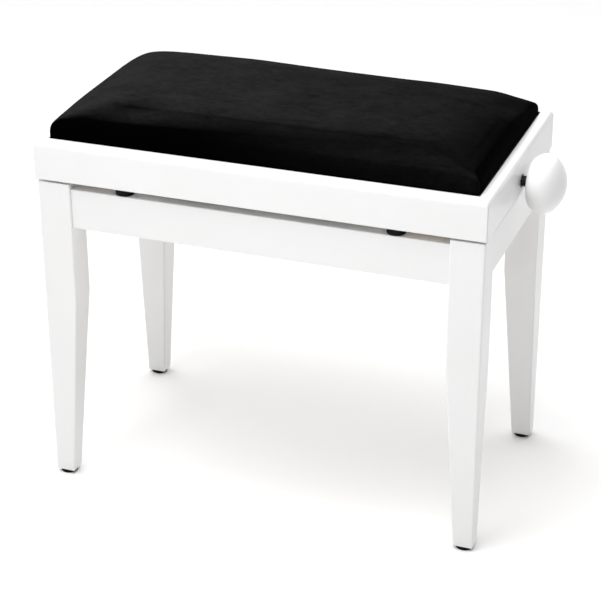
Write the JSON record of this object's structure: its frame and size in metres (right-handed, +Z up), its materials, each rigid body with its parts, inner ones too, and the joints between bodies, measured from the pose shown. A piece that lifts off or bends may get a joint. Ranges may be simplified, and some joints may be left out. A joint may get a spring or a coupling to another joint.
{
  "type": "piano bench",
  "caption": "Height-adjustable piano bench: white wooden frame on tapered legs, black velvet seat pad, scissor lift turned by a round knob at one end.",
  "frame": {"origin": "on the floor, under the middle of the whole bench's bounding box, knob included; the middle of the four-legged base is 26 mm from it along -X", "axes": "+Z up; +X along the seat's length towards the knob's end; the front long side faces -Y"},
  "size_m": [0.602, 0.308, 0.4875],
  "materials": {
    "white_lacquer": "satin white lacquer on wood",
    "bare_wood": "planed beech, unfinished",
    "plywood": "sanded plywood, unfinished",
    "foam": "open-cell upholstery foam",
    "black_velvet": "short-pile velvet with a soft sheen",
    "black_rubber": "matte moulded rubber",
    "black_plastic": "turned black nylon",
    "zinc_steel": "bright zinc-plated steel"
  },
  "bodies": {
    "base": {"leg_front_left": "white_lacquer", "leg_front_right": "white_lacquer", "leg_rear_left": "white_lacquer", "leg_rear_right": "white_lacquer", "base_rail_front": "white_lacquer", "base_rail_rear": "white_lacquer", "base_rail_left": "white_lacquer", "base_rail_right": "white_lacquer", "rail_dowels": "bare_wood", "corner_braces": "bare_wood", "leg_bolts": "zinc_steel", "leg_washers": "zinc_steel", "leg_nuts": "zinc_steel", "foot_glides": "black_rubber", "glide_nails": "zinc_steel", "rubber_bumpers": "black_rubber", "bumper_screws": "zinc_steel", "lower_angle_front": "zinc_steel", "lower_angle_rear": "zinc_steel", "lower_angle_screws": "zinc_steel"},
    "seat": {"seat_rail_front": "white_lacquer", "seat_rail_rear": "white_lacquer", "seat_rail_left": "white_lacquer", "seat_rail_right": "white_lacquer", "seat_corner_blocks": "bare_wood", "seat_board_screws": "zinc_steel", "seat_board": "plywood", "seat_foam": "foam", "seat_cover": "black_velvet", "cover_staples": "zinc_steel", "upper_angle_front": "zinc_steel", "upper_angle_rear": "zinc_steel", "upper_angle_screws": "zinc_steel", "upper_pivot_bolts": "zinc_steel", "upper_pivot_spacers": "zinc_steel", "bearing_plate": "zinc_steel", "bearing_plate_screws": "zinc_steel", "spindle_bush": "black_plastic"},
    "outer_arms": {"outer_arm_front": "zinc_steel", "outer_arm_rear": "zinc_steel", "base_pivot_rod": "zinc_steel", "middle_rivets": "zinc_steel"},
    "inner_arms": {"inner_arm_front": "zinc_steel", "inner_arm_rear": "zinc_steel", "base_slide_rod": "zinc_steel", "slide_rod_spacers": "zinc_steel"},
    "cross_nut": {"cross_nut": "zinc_steel"},
    "spindle": {"spindle": "zinc_steel", "spindle_lock_ring": "zinc_steel", "spindle_collar": "black_plastic", "knob": "white_lacquer"}
  },
  "joints": [
    {"name": "seat_lift", "type": "slide", "parent": "base", "child": "seat", "axis": [0, 0, 1], "range_m": [0, 0.1]},
    {"name": "outer_arms_swing", "type": "hinge", "parent": "base", "child": "outer_arms", "pos_m": [0.144, 0, 0.375], "axis": [0, 1, 0], "range_deg": [0, 18]},
    {"name": "inner_arms_swing", "type": "hinge", "parent": "seat", "child": "inner_arms", "pos_m": [0.144, 0, 0.417], "axis": [0, 1, 0], "range_deg": [-18, 0]},
    {"name": "cross_nut_turn", "type": "hinge", "parent": "outer_arms", "child": "cross_nut", "pos_m": [-0.1934, 0, 0.417], "axis": [0, 1, 0], "range_deg": [-18, 0]},
    {"name": "knob_spin", "type": "hinge", "parent": "seat", "child": "spindle", "pos_m": [0.249, 0, 0.417], "axis": [1, 0, 0], "range_deg": [-3380, 0]}
  ],
  "couplings": [
    {"joint": "outer_arms_swing", "follows": "seat_lift", "rad_per_m": 3.0468},
    {"joint": "inner_arms_swing", "follows": "seat_lift", "rad_per_m": -3.0468},
    {"joint": "cross_nut_turn", "follows": "seat_lift", "rad_per_m": -3.0468},
    {"joint": "knob_spin", "follows": "seat_lift", "rad_per_m": -589.34}
  ]
}
